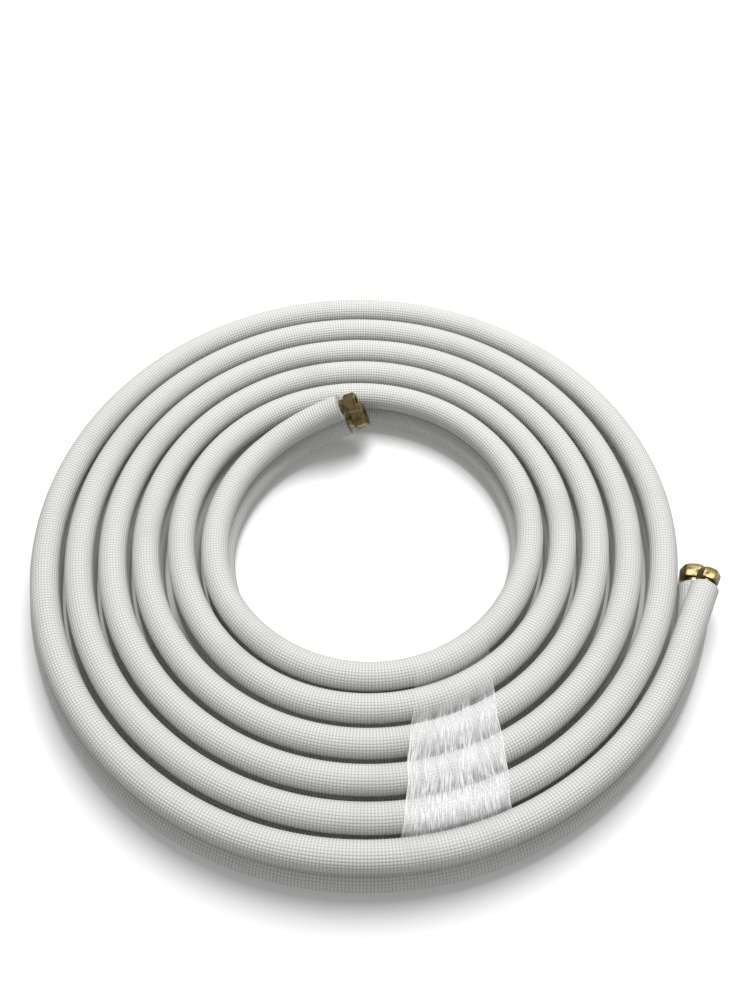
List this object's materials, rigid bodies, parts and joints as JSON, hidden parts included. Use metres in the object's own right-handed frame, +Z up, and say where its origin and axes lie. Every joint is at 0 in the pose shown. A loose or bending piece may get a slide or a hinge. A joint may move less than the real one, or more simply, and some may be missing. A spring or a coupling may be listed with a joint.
{
  "type": "mini split line set",
  "caption": "Insulated copper refrigerant line pair for a mini split, wound flat, with flare nuts on the ends and clear film round the coil.",
  "frame": {"origin": "under the middle of the coil, on the surface it lies on", "axes": "+Z up along the coil axis, +X towards the side with the outer line end"},
  "size_m": [0.6086, 0.5944, 0.0778],
  "materials": {
    "white_foam": "matt embossed white foam",
    "copper": "drawn copper",
    "brass_nut": "machined brass",
    "clear_film": "clear stretch film"
  },
  "bodies": {
    "line_set": {"liquid_line_insulation": "white_foam", "liquid_line_tube": "copper", "suction_line_insulation": "white_foam", "suction_line_tube": "copper", "stretch_wrap": "clear_film"},
    "inner_liquid_nut": {"inner_liquid_nut": "brass_nut"},
    "outer_liquid_nut": {"outer_liquid_nut": "brass_nut"},
    "inner_suction_nut": {"inner_suction_nut": "brass_nut"},
    "outer_suction_nut": {"outer_suction_nut": "brass_nut"}
  },
  "joints": [
    {"name": "inner_liquid_nut_turn", "type": "hinge", "parent": "line_set", "child": "inner_liquid_nut", "pos_m": [-0.02996, 0.12869, 0.0634], "axis": [0.9157, 0.1289, 0.3806], "continuous": true},
    {"name": "outer_liquid_nut_turn", "type": "hinge", "parent": "line_set", "child": "outer_liquid_nut", "pos_m": [0.28863, -0.04857, 0.04059], "axis": [0.4369, 0.8995, 0], "continuous": true},
    {"name": "inner_suction_nut_turn", "type": "hinge", "parent": "line_set", "child": "inner_suction_nut", "pos_m": [-0.02416, 0.13406, 0.03646], "axis": [0.9222, 0.1971, 0.3328], "continuous": true},
    {"name": "outer_suction_nut_turn", "type": "hinge", "parent": "line_set", "child": "outer_suction_nut", "pos_m": [0.28843, -0.03411, 0.01436], "axis": [0.2214, 0.9752, 0], "continuous": true}
  ]
}
